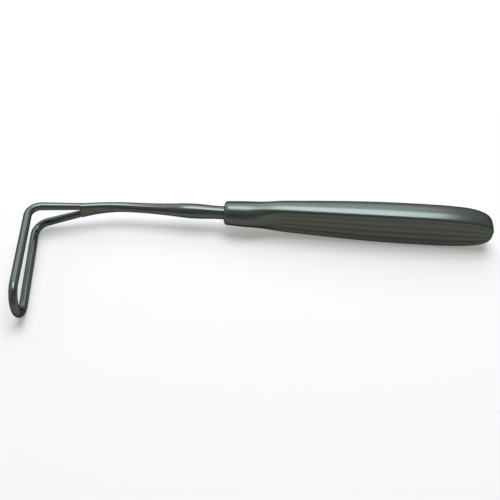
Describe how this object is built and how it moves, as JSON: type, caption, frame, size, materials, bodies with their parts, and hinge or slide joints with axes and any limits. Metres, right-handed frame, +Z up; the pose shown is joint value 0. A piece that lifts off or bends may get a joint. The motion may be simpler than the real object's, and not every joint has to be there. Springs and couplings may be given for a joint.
{
  "type": "handheld loop retractor",
  "caption": "Handheld surgical retractor with an open bent-down wire loop, a turned stem and a hollow flat fluted handle, all in satin stainless steel.",
  "frame": {"origin": "on the surface it lies on, under the middle of its bounding box", "axes": "the instrument lies on its side; +X along the handle's axis from the loop towards the butt, -Y the way the loop's blade points, +Z up through the handle's width"},
  "size_m": [0.2206, 0.071, 0.0209],
  "materials": {
    "satin_handle": "satin, glass bead blasted and fine brushed stainless steel",
    "satin_blade": "satin, glass bead blasted stainless steel, a little smoother on the stem"
  },
  "bodies": {
    "root": {"hollow_handle": "satin_handle", "loop_blade": "satin_blade"}
  },
  "joints": []
}
